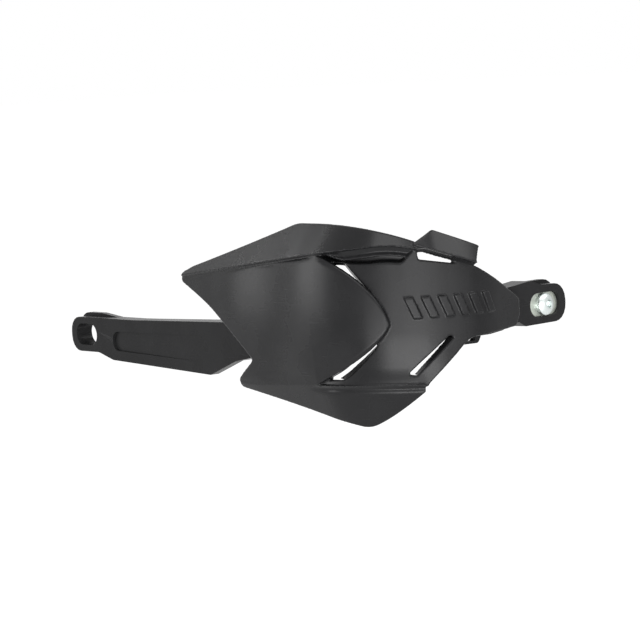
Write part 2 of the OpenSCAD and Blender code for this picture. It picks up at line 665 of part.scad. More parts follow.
// A slot through the body panel between two lines of places
module vent(near, far, slant = 2.8) {
    over = 1.5;
    function edge(p, push, out) = at(p[0] + push, body_out_at(p[0], p[1]) + out, p[1]);
    last = len(near) - 1;
    shell([for (k = [0 : last]) [edge(near[k], -0.4, over), edge(far[k], 0, over)]],
          [for (k = [0 : last]) [edge(near[k], slant, -shield_t - over), edge(far[k], 0, -shield_t - over)]]);
}
vent_steps = 8;
function upper_near(t) = [for (k = [0, 1]) bend([122, 11][k], [127, 19][k], [141.5, 36.5][k], t)];
function lower_near(t) = [for (k = [0, 1]) bend([145, -33.5][k], [134, -25][k], [124.5, -12.5][k], t)];
module vents() {
    vent([for (t = steps(0, 1, vent_steps)) upper_near(t)],
         [for (t = steps(0, 1, vent_steps)) upper_near(t) + [mix(2.5, 13, t), 0]]);
    vent([for (t = steps(0, 1, vent_steps)) lower_near(t)],
         [for (t = steps(0, 1, vent_steps)) lower_near(t) + [mix(13, 2.5, t), 0]]);
    vent([for (t = steps(0, 1, vent_steps)) [mix(105, 84, t), mix(-32, -10.5, t)]],
         [for (t = steps(0, 1, vent_steps)) [mix(109.5, 86, t), mix(-31, -9.5, t)]]);
}

// One of the plain slanted bars raised from the body panel
stripe_lift = 1.3;
module stripe(k) {
    first = 60 + k * 8.6;
    function row(z, lift) = [for (e = [0, 4.4])
        let (s = first + e + (z - 8) * 0.35) at(s, body_level(s) + lift, z)];
    shell([for (z = steps(2, 14.5, 3)) row(z, stripe_lift)], [for (z = steps(2, 14.5, 3)) row(z, -1)]);
}

// Bosses behind the shield, with a gusset on each side
function boss_reach(k) = k < 2 ? body_level(screws[k][0]) : panel_level(screws[k][0], 0.5);
boss_gap = 0.05;
module boss(k) on_corner(screws[k][0]) translate([0, 0, screws[k][1]]) {
    top = boss_reach(k) - shield_t + 0.8;
    rotate([-90, 0, 0]) hull() {
        translate([0, 0, boss_gap]) cylinder(d = boss_d, h = 1, $fn = 32);
        translate([0, 0, top - 1]) cylinder(d = boss_d + 1, h = 1, $fn = 32);
    }
    for (side = [-1, 1]) hull() {
        translate([side * boss_d / 3, 1.5, -1]) cube([1, 1, 2]);
        translate([side * (boss_d / 2 + 1), top - 2, -1]) cube([1, 1.5, 2]);
    }
}
module shield() color(shield_col) difference() {
    union() {
        front_sheet();
        difference() {
            body_sheet();
            vents();
        }
        flap_sheet();
        rolled_lip(flap_s + 1.1, flap_end + 1.6, 9);
        rolled_lip(flap_end + 1, wing_s + 0.4, 14);
        spear_web(spear_s + 0.3, 121.5, true);
        spear_web(147.5, wing_s - 1, true);
        spear_web(spear_s + 0.3, 121, false);
        spear_web(154.5, chin_wing_s - 1, false);
        for (k = [0 : 5]) stripe(k);
        for (k = [0 : 3]) boss(k);
    }
    for (k = [0 : 3]) on_corner(screws[k][0]) translate([0, -1, screws[k][1]]) rotate([-90, 0, 0])
        cylinder(d = screw_d + 2 * thread_gap, h = min(screw_bite + 2, boss_reach(k) - 0.2), $fn = 32);
}

// Shield screws, driven outward from inside the channel
module shield_screw(k) color(steel_col) on_corner(screws[k][0]) translate([0, 0, screws[k][1]]) {
    seat = -bar_wall - screw_washer_t;
    bite = min(screw_bite, boss_reach(k) - 1.5);
    difference() {
        union() {
            translate([0, seat, 0]) rotate([90, 0, 0]) cylinder(d = screw_head_d, h = screw_head_h, $fn = 48);
            translate([0, seat, 0]) rotate([-90, 0, 0]) cylinder(d = screw_d, h = bite - seat, $fn = 48);
        }
        translate([0, seat - screw_head_h + 2, 0]) rotate([90, 0, 0]) cylinder(d = 3.5, h = 5, $fn = 6);
    }
}
module shield_washer(k) color(steel_col) on_corner(screws[k][0]) translate([0, -bar_wall, screws[k][1]])
    rotate([90, 0, 0]) difference() {
        cylinder(d = screw_washer_d, h = screw_washer_t, $fn = 48);
        translate([0, 0, -1]) cylinder(d = screw_d + 2 * shank_gap, h = screw_washer_t + 2, $fn = 48);
    }

bar();
shield();
outer_insert();
bar_end_washer();
bar_end_bolt();
expander_sleeve();
expander_cone();
for (k = [0 : 3]) shield_screw(k);
for (k = [0 : 3]) shield_washer(k);
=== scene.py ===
import math

import bmesh
import bpy
import numpy as np
from mathutils import Matrix, Vector


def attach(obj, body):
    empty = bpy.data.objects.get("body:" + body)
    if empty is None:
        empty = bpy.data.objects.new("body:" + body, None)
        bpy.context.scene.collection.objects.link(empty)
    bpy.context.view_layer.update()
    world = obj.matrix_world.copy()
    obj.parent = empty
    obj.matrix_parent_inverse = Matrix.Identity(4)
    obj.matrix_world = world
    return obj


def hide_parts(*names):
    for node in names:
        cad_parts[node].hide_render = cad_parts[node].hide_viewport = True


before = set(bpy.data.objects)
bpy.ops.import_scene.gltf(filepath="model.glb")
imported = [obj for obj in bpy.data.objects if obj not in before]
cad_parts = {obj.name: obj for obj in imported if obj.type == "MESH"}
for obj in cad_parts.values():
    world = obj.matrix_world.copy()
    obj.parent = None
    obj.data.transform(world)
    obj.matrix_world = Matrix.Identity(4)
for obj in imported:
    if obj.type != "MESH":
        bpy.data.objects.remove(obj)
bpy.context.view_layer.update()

photo_width = 640
sensor_mm = 36.0
camera_far = 2.0
metres_per_pixel = 0.00061
azimuth, elevation, roll = (math.radians(a) for a in (42.0, 5.0, 3.5))
near_clip, far_clip = 0.05, 60.0
bolt_face = Vector((0.017, 0.0, 0.0))
bolt_pixel = (546.3, 304.0)

level_right = Vector((math.cos(azimuth), math.sin(azimuth), 0.0))
towards_camera = Vector((math.sin(azimuth) * math.cos(elevation),
                         -math.cos(azimuth) * math.cos(elevation), math.sin(elevation)))
level_up = towards_camera.cross(level_right)
camera_right = level_right * math.cos(roll) - level_up * math.sin(roll)
camera_up = level_right * math.sin(roll) + level_up * math.cos(roll)
camera_data = bpy.data.cameras.new("camera")
camera_data.sensor_width = sensor_mm
camera_data.lens = camera_far / metres_per_pixel * sensor_mm / photo_width
camera_data.clip_start, camera_data.clip_end = near_clip, far_clip
camera = bpy.data.objects.new("camera", camera_data)
bpy.context.scene.collection.objects.link(camera)
camera.matrix_world = Matrix((
    (camera_right.x, camera_up.x, towards_camera.x, 0.0),
    (camera_right.y, camera_up.y, towards_camera.y, 0.0),
    (camera_right.z, camera_up.z, towards_camera.z, 0.0),
    (0.0, 0.0, 0.0, 1.0),
))
camera.location = (bolt_face + towards_camera * camera_far
                   - camera_right * (bolt_pixel[0] - photo_width / 2) * metres_per_pixel
                   - camera_up * (photo_width / 2 - bolt_pixel[1]) * metres_per_pixel)
bpy.context.scene.camera = camera


# The bar. One moulding of glass-filled nylon with a fine spark-eroded grain, its edges broken by
# the mould. It is rubbed paler along the edges and carries faint scuffs.
def plastic(name, shade, gloss, roughness, grain_mm, grain_depth_mm):
    material = bpy.data.materials.new(name)
    material.use_nodes = True
    nodes, links = material.node_tree.nodes, material.node_tree.links
    shader = nodes["Principled BSDF"]
    shader.inputs["Specular IOR Level"].default_value = gloss
    place = nodes.new("ShaderNodeTexCoord").outputs["Object"]

    def noise(scale, detail=2.0, vector=place):
        node = nodes.new("ShaderNodeTexNoise")
        node.inputs["Scale"].default_value = scale
        node.inputs["Detail"].default_value = detail
        links.new(vector, node.inputs["Vector"])
        return node.outputs["Fac"]

    def band(source, low, high, out_low, out_high):
        node = nodes.new("ShaderNodeMapRange")
        for socket, value in zip(("From Min", "From Max", "To Min", "To Max"),
                                 (low, high, out_low, out_high)):
            node.inputs[socket].default_value = value
        links.new(source, node.inputs["Value"])
        return node.outputs["Result"]

    def total(a, b):
        node = nodes.new("ShaderNodeMath")
        node.operation = "ADD"
        links.new(a, node.inputs[0])
        links.new(b, node.inputs[1])
        return node.outputs["Value"]

    # Scuffs run along the part in thin streaks
    streak = nodes.new("ShaderNodeMapping")
    streak.inputs["Scale"].default_value = (60.0, 60.0, 900.0)
    streak.inputs["Rotation"].default_value = (0.1, 0.35, 0.2)
    links.new(place, streak.inputs["Vector"])
    scuff = noise(1.0, 3.0, streak.outputs["Vector"])
    blotch = noise(45.0, 3.0)
    grain = noise(1000.0 / grain_mm)

    # Rubbed edges, and a little of the blotches and scuffs, turn the plastic paler
    worn_shade = [c * 2.4 + 0.01 for c in shade]
    worn = band(nodes.new("ShaderNodeNewGeometry").outputs["Pointiness"], 0.53, 0.62, 0.0, 1.0)
    colour = nodes.new("ShaderNodeMix")
    colour.data_type = "RGBA"
    colour.inputs["A"].default_value = (*shade, 1.0)
    colour.inputs["B"].default_value = (*worn_shade, 1.0)
    links.new(total(total(band(worn, 0.0, 1.0, 0.0, 0.45), band(blotch, 0.35, 0.75, 0.0, 0.12)),
                    band(scuff, 0.62, 0.8, 0.0, 0.05)), colour.inputs["Factor"])
    links.new(colour.outputs["Result"], shader.inputs["Base Color"])
    uneven = 0.03
    links.new(total(band(blotch, 0.3, 0.7, roughness - uneven, roughness + uneven),
                    band(scuff, 0.6, 0.8, 0.0, uneven)), shader.inputs["Roughness"])
    bump = nodes.new("ShaderNodeBump")
    bump.inputs["Distance"].default_value = grain_depth_mm * 0.001
    bump.inputs["Strength"].default_value = 1.0
    links.new(grain, bump.inputs["Height"])
    links.new(bump.outputs["Normal"], shader.inputs["Normal"])
    return material


same_place_mm, flat_degrees, sharp_degrees = 0.01, 0.5, 32.0


def finish_solid(node, material, edge_mm):
    """Gives a solid its material, its broken edges and smooth round faces."""
    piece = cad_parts[node]
    piece.data.materials.clear()
    piece.data.materials.append(material)
    weld = piece.modifiers.new("joined faces", "WELD")
    weld.merge_threshold = same_place_mm * 0.001
    flats = piece.modifiers.new("whole flats", "DECIMATE")
    flats.decimate_type, flats.angle_limit = "DISSOLVE", math.radians(flat_degrees)
    edges = piece.modifiers.new("broken edges", "BEVEL")
    edges.width = edge_mm * 0.001
    edges.segments = 3
    edges.limit_method = "ANGLE"
    edges.angle_limit = math.radians(sharp_degrees)
    even = piece.modifiers.new("even normals", "WEIGHTED_NORMAL")
    even.keep_sharp = True
    piece.data.shade_smooth()


nylon = plastic("glass-filled nylon", (0.006, 0.006, 0.0063), 0.04, 0.27, 0.35, 0.01)
finish_solid("bar", nylon, 0.6)


# The fixing at the bar end. A cast alloy insert fills the eye's slot, and a zinc-plated bolt with
# a domed head pulls a cone nut into a split sleeve inside the handlebar.
def metal(name, shade, roughness, grain_mm, grain_depth_mm):
    material = bpy.data.materials.new(name)
    material.use_nodes = True
    nodes, links = material.node_tree.nodes, material.node_tree.links
    shader = nodes["Principled BSDF"]
    shader.inputs["Metallic"].default_value = 1.0
    place = nodes.new("ShaderNodeTexCoord").outputs["Object"]

    def noise(scale):
        node = nodes.new("ShaderNodeTexNoise")
        node.inputs["Scale"].default_value = scale
        node.inputs["Detail"].default_value = 3.0
        links.new(place, node.inputs["Vector"])
        return node.outputs["Fac"]

    # Stains darken the metal, and finer spots make it duller or brighter
    stain, spots = noise(220.0), noise(500.0)
    stained_shade, uneven = [c * 0.86 for c in shade], 0.06
    colour = nodes.new("ShaderNodeMix")
    colour.data_type = "RGBA"
    colour.inputs["A"].default_value = (*stained_shade, 1.0)
    colour.inputs["B"].default_value = (*shade, 1.0)
    links.new(stain, colour.inputs["Factor"])
    links.new(colour.outputs["Result"], shader.inputs["Base Color"])
    rough = nodes.new("ShaderNodeMapRange")
    rough.inputs["To Min"].default_value = roughness - uneven
    rough.inputs["To Max"].default_value = roughness + uneven
    links.new(spots, rough.inputs["Value"])
    links.new(rough.outputs["Result"], shader.inputs["Roughness"])
    bump = nodes.new("ShaderNodeBump")
    bump.inputs["Distance"].default_value = grain_depth_mm * 0.001
    links.new(noise(1000.0 / grain_mm), bump.inputs["Height"])
    links.new(bump.outputs["Normal"], shader.inputs["Normal"])
    return material


cast_alloy = metal("cast alloy", (0.50, 0.53, 0.48), 0.5, 0.3, 0.012)
zinc_plate = metal("zinc plate", (0.56, 0.6, 0.59), 0.36, 0.15, 0.002)
finish_solid("outer_insert", cast_alloy, 0.3)
finish_solid("expander_sleeve", cast_alloy, 0.2)
finish_solid("expander_cone", cast_alloy, 0.2)
finish_solid("bar_end_washer", zinc_plate, 0.15)
finish_solid("bar_end_bolt", zinc_plate, 0.25)


# The shield. One moulding of tough nylon: a brow along the top, a crowned spear, a chin below, a
# body panel round the corner, a flap over a slot, and bosses behind for its screws. Everything
# is placed by the length along the bar's outer face, the distance out from it, and the height.
face_x, reach, corner_r, slant = 16.0, 54.0, 58.0, 12.0
corner_turn = math.radians(90 + slant)
arm_s = reach + corner_r * corner_turn


def at(s, out, z):
    """The place, in metres, of a length along the path, a distance out from it and a height."""
    s, out, z = np.broadcast_arrays(*(np.asarray(a, float) for a in (s, out, z)))
    turn = np.clip((s - reach) / corner_r, 0, corner_turn)
    past = np.minimum(s - reach, 0) + np.maximum(s - arm_s, 0)
    r = corner_r + out
    return np.stack([face_x - corner_r + r * np.cos(turn) - past * np.sin(turn),
                     -reach - r * np.sin(turn) - past * np.cos(turn), z], -1) * 0.001


def mix(a, b, t):
    return a + (b - a) * t


def ramp(a, b, x):
    t = np.clip((x - a) / (b - a), 0, 1)
    return t * t * (3 - 2 * t)


def soft_min(a, b, k):
    h = np.maximum(k - abs(a - b), 0) / k
    return np.minimum(a, b) - h * h * k / 4


def soft_max(a, b, k):
    return -soft_min(-a, -b, k)


def bend(p, q, r, t):
    """A curve from p to r that is drawn towards q."""
    return p * (1 - t) ** 2 + q * 2 * t * (1 - t) + r * t * t


def height_at(p, q, r, s):
    """The height of the bend through p, q and r at a length along the path."""
    a, b, c = p[0] - 2 * q[0] + r[0], 2 * (q[0] - p[0]), p[0] - s
    return bend(p[1], q[1], r[1], 2 * c / (np.sqrt(np.maximum(0, b * b - 4 * a * c)) - b))


wall = 2.6
brow_lean, chin_lean, brow_step, spear_crown = 0.75, 0.45, 1.2, 2.5
tip, heel = (299.8, 26.0), (240.2, -38.4)
crown_z, chin_z = 59.2, -61.0
spear_s, spear_z = 117.5, -1.0
end_s = 31.6
flap_s, flap_l, flap_h, flap_out, flap_slant = 71.5, 30.0, 12.3, 6.0, 5.8
flap_end = flap_s + flap_l + 1
wing_s = 157.0
chin_wing_s = wing_s + 4


# Levels: how far the face of each panel stands out from the path
def spear_level(s):
    return 19.0 - ((s - 230.0) / 127) ** 2 * 6


def body_level(s):
    return 10.0 - 4.5 * (np.maximum(0, 170 - s) / (170 - end_s)) ** 2


def chin_level(s):
    return mix(body_level(s) + 1.2, spear_level(s) - brow_step, ramp(118, 161, s))


def flap_level(s):
    return body_level(s) + flap_out - 1.5 * ramp(92, 103, s)


# Outlines: the height of each panel's edges
def brow_line(s):
    return soft_min(tip[1] + (tip[0] - s) * 0.112, 43 + (s - flap_end) * 0.25, 3)


def top_edge(s):
    d, e = tip[0] - 10 - s, s - tip[0] + 3.6
    rise = tip[1] + 6 + d * 0.245 + 0.00028 * d * d
    fall = crown_z - 0.0000275 * np.maximum(0, 178 - s) ** 3
    rounded = tip[1] - 0.6 + np.where(e > 0, np.sqrt(np.maximum(0, 16 - e * e)), 4 - 0.42 * e)
    return soft_min(soft_min(rise, fall, 1.5), rounded, 0.5)


def chin_line(s):
    return heel[1] + 2.4 - 0.00045 * (s - 140) ** 2


def low_edge(s):
    d, e = heel[0] - 7 - s, s - heel[0] + 3.2
    rise = heel[1] - 4.3 - 0.16 * d - 0.00063 * d * d
    tail = chin_z + 0.43 * (130 - s) + 0.0081 * np.maximum(0, 130 - s) ** 2
    rounded = heel[1] - 0.2 - np.where(e > 0, np.sqrt(np.maximum(0, 12.25 - e * e)), 3.5 - e)
    return soft_max(soft_max(rise, tail, 4), rounded, 0.5)


def lip_line(s):
    return mix(32.0, 45.0, (s - flap_s) / flap_l)


def flap_top(s):
    return soft_min(soft_min(lip_line(s) + flap_h, 47.4 + (flap_end - s) * 0.68, 1),
                    41.2 + (s - flap_s + flap_slant - 0.5) * 2.5, 0.8)


def spear_top(s):
    curve = height_at((wing_s, brow_line(wing_s) - 0.3), (spear_s + 4.5, spear_z + 26),
                      (spear_s, spear_z), np.minimum(s, wing_s))
    return np.where(s >= wing_s, brow_line(s) - 0.3, curve)


def spear_low(s):
    curve = height_at((chin_wing_s, chin_line(chin_wing_s)), (spear_s + 7, spear_z - 18),
                      (spear_s, spear_z), np.minimum(s, chin_wing_s))
    return np.where(s >= chin_wing_s, chin_line(s), curve)


# The faces aren't flat: these low forms draw the highlights and shadows on them
wave_h, wave_s, wave_l = 0.75, 167, 75
ridge_s, ridge_w = 179, 15
groove_h, rim_h, point_h = 0.7, 0.9, 0.8
crease_h, crease_w, crease_down = 1.6, 1.8, 2.2


def spear_waves(s):
    """Two broad upright ridges in the spear."""
    wave = wave_h * np.cos((s - wave_s) / wave_l * 2 * math.pi)
    return wave * ramp(128, 152, s) * ramp(290, 258, s)


def brow_ridge(s):
    """An upright ridge in the brow, one millimetre high."""
    return np.exp(-((s - ridge_s) / ridge_w) ** 2)


def panel_level(s, w):
    """The spear's face at a share w of the way down from its top edge, with its crown, its waves,
    a groove under the brow, and rims that drop at its outboard edges and its point."""
    full = np.minimum(1, (spear_top(s) - spear_low(s))
                      / (spear_top(chin_wing_s) - spear_low(chin_wing_s)))
    return (spear_level(s) - brow_step + spear_crown * full * full * 4 * w * (1 - w)
            + spear_waves(s) * ramp(0, 0.06, w) * ramp(1, 0.88, w)
            - groove_h * ramp(0.03, 0.01, w) * ramp(158, 170, s) * ramp(245, 215, s)
            - rim_h * np.maximum(ramp(0.05, 0, w), ramp(0.95, 1, w)) * ramp(157, 150, s)
            - point_h * ramp(spear_s + 2.4, spear_s, s))


# The inboard edge rounds the tip, bends to the notch, runs straight out and rounds the heel
edge_points = ((tip[0], tip[1] - 0.3), (tip[0] - 1.9, tip[1] - 4.2),
               (heel[0] - 16.9, heel[1] + 14.2), (heel[0] - 1.2, heel[1] + 2.6), heel)
edge_bends = ((tip[0] + 0.8, tip[1] - 2.7), (tip[0] - 48.8, tip[1] - 22.5),
              (heel[0] - 9, heel[1] + 8.4), (heel[0] + 0.2, heel[1] + 1.4))
edge_w = (0, 2 / 15, 12 / 15, 14 / 15, 1)


def inboard_edge(w):
    """The place and the height of the inboard edge at a share w of the way down."""
    k = np.clip(np.searchsorted(edge_w, w, "right") - 1, 0, 3)
    share = (w - np.take(edge_w, k)) / (np.take(edge_w, k + 1) - np.take(edge_w, k))
    return [bend(np.take(p, k), np.take(q, k), np.take(p, k + 1), share)
            for p, q in zip(zip(*edge_points), zip(*edge_bends))]


def sheet(outer, inner, keep=None):
    """A thick sheet between two grids of points, without the cells that are false in keep."""
    ni, nj = outer.shape[:2]
    n = ni * nj
    live = np.zeros((ni + 1, nj + 1), bool)
    live[1:ni, 1:nj] = True if keep is None else keep
    faces = []
    for i in range(ni - 1):
        for j in range(nj - 1):
            if not live[i + 1, j + 1]:
                continue
            a = i * nj + j
            b, c, d = a + 1, a + nj + 1, a + nj
            faces += [(d, c, b, a), (n + a, n + b, n + c, n + d)]
            if not live[i, j + 1]:
                faces.append((n + b, n + a, a, b))
            if not live[i + 1, j + 2]:
                faces.append((n + c, n + b, b, c))
            if not live[i + 2, j + 1]:
                faces.append((n + d, n + c, c, d))
            if not live[i + 1, j]:
                faces.append((n + a, n + d, d, a))
    return solid(np.concatenate([outer.reshape(-1, 3), inner.reshape(-1, 3)]), faces)


def solid(points, faces=None):
    """An object with a closed mesh of these faces, or the hull of the points without them."""
    shape = bmesh.new()
    corners = [shape.verts.new(p) for p in points]
    if faces is None:
        bmesh.ops.convex_hull(shape, input=corners)
    else:
        for face in faces:
            shape.faces.new([corners[k] for k in face])
    bmesh.ops.delete(shape, geom=[v for v in shape.verts if not v.link_faces], context="VERTS")
    bmesh.ops.triangulate(shape, faces=shape.faces)
    bmesh.ops.recalc_face_normals(shape, faces=shape.faces)
    mesh = bpy.data.meshes.new("form")
    shape.to_mesh(mesh)
    shape.free()
    piece = bpy.data.objects.new("form", mesh)
    bpy.context.scene.collection.objects.link(piece)
    return piece


def settled(piece):
    """Replaces a piece's mesh by what its modifiers make of it."""
    bpy.context.view_layer.update()
    shape = piece.evaluated_get(bpy.context.evaluated_depsgraph_get())
    mesh = bpy.data.meshes.new_from_object(shape)
    piece.modifiers.clear()
    piece.data = mesh
    return piece


def combined(piece, others, operation):
    """Joins the others to a piece, or cuts them from it."""
    for other in others:
        step = piece.modifiers.new("step", "BOOLEAN")
        step.operation, step.solver, step.object = operation, "MANIFOLD", other
    settled(piece)
    for other in others:
        bpy.data.objects.remove(other)
    return piece


# Front sheet: brow, spear and chin in one grid, on upright columns
finger_cols, edge_cols, wide_cols = 10, 36, 70
brow_rows, spear_rows, chin_rows = 16, 60, 16
square_s, finger_s, point_s = 166.0, 101.2, spear_s + 0.15
crease_row = brow_rows + 1 + spear_rows
front_cols = finger_cols + edge_cols + 2 + wide_cols
front_rows = crease_row + 1 + chin_rows


def column(i, end):
    """The place of an upright column, which runs from the finger's end to the inboard end."""
    if i <= finger_cols:
        return mix(finger_s, point_s, i / finger_cols)
    if i <= finger_cols + edge_cols:
        return mix(point_s, wing_s, ((i - finger_cols) / edge_cols) ** 1.4)
    if i == finger_cols + edge_cols + 1:
        return chin_wing_s
    return mix(square_s, end, (i - finger_cols - edge_cols - 2) / wide_cols)


def front_grid(depth):
    """The front sheet's points, at a depth behind its face."""
    grid = np.zeros((front_cols + 1, front_rows + 1, 3))
    for i in range(front_cols + 1):
        u = max(0.0, (i - finger_cols - edge_cols - 2) / wide_cols)
        s = max(flap_end, column(i, tip[0]))
        z = mix(top_edge(s), brow_line(s), np.linspace(0, 1, brow_rows + 1))
        brow = spear_level(s) - brow_lean * (z - brow_line(s)) + brow_ridge(s)
        grid[i, :brow_rows + 1] = at(s, brow - depth, z)
        w = 0.5 - 0.5 * np.cos(np.linspace(0, math.pi, spear_rows + 1))
        s = column(min(i, front_cols - wide_cols), tip[0])
        edge = inboard_edge(w)
        p = mix(s, edge[0], u)
        z = mix(mix(spear_top(s), spear_low(s), w), edge[1], u)
        grid[i, brow_rows + 1:crease_row + 1] = at(p, panel_level(p, w) - depth, z)
        s = column(i, heel[0])
        start = mix(chin_line(s), heel[1], u * u) - 0.6
        z = mix(start, low_edge(s), np.linspace(0, 1, chin_rows + 1) ** 1.5)
        off_crease = (start - z - crease_down) / crease_w
        crease = crease_h * np.exp(-off_crease ** 2) * ramp(172, 150, s)
        chin = chin_level(s) - 0.1 - chin_lean * (start - z) - crease
        grid[i, crease_row + 1:] = at(s, chin - depth, z)
    return grid


kept = np.zeros((front_cols, front_rows), bool)
kept[:, :brow_rows] = True
kept[:, crease_row + 1:] = True
kept[finger_cols + edge_cols:, brow_rows] = True
kept[finger_cols + edge_cols + 1:, crease_row] = True
kept[finger_cols:, brow_rows + 1:crease_row] = True
shield_piece = sheet(front_grid(0.0), front_grid(wall), kept)
additions = []

# Flap over the slot at the top, with a slanted outboard end
across, up = np.linspace(0, 1, 40)[:, None], np.linspace(1, 0, 14)[None, :]
foot = mix(flap_s + 0.5, flap_end + 1, across)
flap_place = foot - flap_slant * up * (1 - across) ** 2
flap_height = mix(lip_line(foot), flap_top(flap_place), up)
flap_lean = 0.6
flap_stand = flap_level(flap_place) - flap_lean * (flap_height - lip_line(foot))
additions.append(sheet(*(at(flap_place, flap_stand - depth, flap_height)
                         for depth in (0.0, wall))))


# Rolled lip under the flap and the brow, with its dark band
lip_web, groove_deep = 2.2, 5.0


def lip_row(s, inner):
    """One upright row of the lip's face, or of its hidden side."""
    web = lip_web if inner else 0.0
    under_brow = s > flap_end + 1
    if under_brow:
        z, level, band = brow_line(s), spear_level(s), 5.5
        sink = 1.4 * (1 - ramp(flap_end + 2, 130, s))
    else:
        z, level = min(lip_line(s), brow_line(flap_end + 1)), flap_level(s)
        band = mix(1.6, 3.2, (s - flap_s) / flap_l) + 2 * ramp(83.5, 81, s)
        sink = 0.0
    band *= 1 - ramp(138, wing_s, s)
    back = body_level(s) - (groove_deep + 1 if under_brow else wall - 0.2)
    # The band is hollowed, and under the brow its foot stands out again
    hollow, foot = (4.9, 3.6) if under_brow else (6.2, 7.4)
    front = level - sink - web
    outs = [level - (0.9 + brow_lean * (web + 0.5) if inner else 0.8), front - 3.1,
            front - hollow, front - foot, front - foot - 0.4, back]
    drops = [0.5, -0.3, -0.3 - band * 0.55, -0.2 - band, -0.5 - band, -0.1 - band]
    return at(s, outs, np.array(drops) + z + web)


for start, stop, rows in ((flap_s - 0.6, flap_end + 1.0, 24),
                          (flap_end + 1.001, wing_s + 0.4, 44)):
    places = np.linspace(start, stop, rows)
    additions.append(sheet(*(np.array([lip_row(s, inner) for s in places])
                             for inner in (False, True))))

# Walls that tie the spear's edges to the body panel
tie_rows, tie_wide = 14, 2.2
for start, stop, edge in ((spear_s + 0.3, 121.5, spear_top), (147.5, wing_s - 1, spear_top),
                          (spear_s + 0.3, 121.0, spear_low), (154.5, chin_wing_s - 1, spear_low)):
    places = np.linspace(start, stop, tie_rows)
    additions.append(sheet(*(np.array([
        at(s + push, [panel_level(s, 0) - 0.8, body_level(s) - wall + 0.3], edge(s))
        for s in places]) for push in (0.0, tie_wide))))

# Body panel, with the groove under the brow and three slots for air
under_s, hem, drawn_in_h = 168.0, 2.2, 1.8
body_cols, body_rows = 100, 44


def body_top(s):
    if s > flap_end:
        return brow_line(s) + 1
    return soft_min(mix(30.6, 37, (s - 70) / 32.5), mix(8, 30.6, (s - 33) / 37), 1)


def groove_line(s):
    if s <= flap_end:
        return body_top(s) - 1.5
    return brow_line(s) - mix(1, 10, ramp(flap_end, flap_end + 9, s)) + 4 * ramp(125, 155, s)


def body_bottom(s):
    if s > 99:
        return chin_line(s) - hem
    low = soft_min(soft_max(-9.4 - (s - 35) * 0.065, -3 - (s - end_s) * 1.6, 2),
                   -14.2 - (s - 77.6) * 1.08, 4)
    return max(low, chin_line(s) - hem)


def body_out(s, z):
    """The body's face, which is drawn in towards its foot and runs under the chin."""
    near_chin = ramp(99, 108, s) * ramp(chin_line(s) + 10, chin_line(s), z)
    drawn_in = drawn_in_h * ramp(84, 102, s) * ramp(-6, -36, z)
    under_chin = chin_level(s) - mix(1.9, 2.4, ramp(115, 150, s))
    return mix(body_level(s) - drawn_in, under_chin, near_chin)


def body_grid(depth):
    """The body sheet's points, at a depth behind its face."""
    grid = []
    for s in np.linspace(end_s, under_s, body_cols + 1):
        top, line = body_top(s), groove_line(s)
        deep = groove_deep * ramp(flap_end, flap_end + 5, s)
        z = np.array([top, min(top - 0.4, line + 1.2), min(top - 0.8, line + 0.4),
                      min(top - 1.2, line - 0.4)])
        out = body_out(s, z) - np.array([deep, deep, 0.16 * deep, 0])
        z = z - np.array([0, 1, 1, 1]) * depth * deep / groove_deep
        rest = mix(line - 4.5, body_bottom(s), np.linspace(0, 1, body_rows + 1))
        out = np.concatenate([out, body_out(s, rest)]) - depth
        grid.append(at(s, out, np.concatenate([z, rest])))
    return np.array(grid)


# A slot for air at a share t along it: the place and height of its outboard edge, its width, how
# far its inboard edge lies higher, and how far the flange behind its outboard edge leans
def upper_air(t):
    s, z = bend(122, 127, 141.5, t), bend(11, 19, 36.5, t)
    return s, z, mix(3, 13, t), 0, mix(3.6, 6.6, t)


def lower_air(t):
    s, z = bend(145, 134, 124.5, t), bend(-33.5, -25, -12.5, t)
    return s, z, mix(11.5, 3, t), 0, mix(9.5, 4.5, t)


def slanted_air(t):
    return mix(105, 84, t), mix(-32, -10.5, t), mix(5, 3.2, t), 1, 2.4


air_rows, cut_past, flange_deep, flange_t = 24, 1.5, 6, 1.4
cutters = []
for air in (upper_air, lower_air, slanted_air):
    outer, inner, flange = [], [], []
    for t in np.linspace(0, 1, air_rows):
        s, z, wide, rise, lean = air(t)
        high, low = body_out(s, z), body_out(s + wide, z + rise)
        outer.append([at(s, high + cut_past, z), at(s + wide, low + cut_past, z + rise)])
        inner.append([at(s, high - wall - cut_past, z),
                      at(s + wide, low - wall - cut_past, z + rise)])
        lean = min(lean, wide - 1)
        flange.append([at(s + push + lean * down / flange_deep, high - 0.4 - down, z)
                       for push, down in ((-flange_t, 0), (-flange_t, flange_deep),
                                          (0.1, flange_deep), (0.1, 0))])
    cutters.append(sheet(np.array(outer), np.array(inner)))
    flange = np.array(flange)
    additions.append(sheet(flange[:, :2], flange[:, 3:1:-1]))
additions.append(combined(sheet(body_grid(0.0), body_grid(wall)), cutters, "DIFFERENCE"))

# Plain slanted bars on the body panel
bar_count, bar_s, bar_step, bar_w, bar_lift, bar_slant = 6, 60, 8.6, 4.4, 2.0, 0.35
bar_foot, bar_middle, bar_head = 2, 8, 14.5
for k in range(bar_count):
    z = np.linspace(bar_foot, bar_head, 12)[:, None]
    s = bar_s + k * bar_step + np.linspace(0, bar_w, 5)[None, :] + (z - bar_middle) * bar_slant
    additions.append(sheet(at(s, body_level(s) + bar_lift, z), at(s, body_level(s) - 1.0, z)))

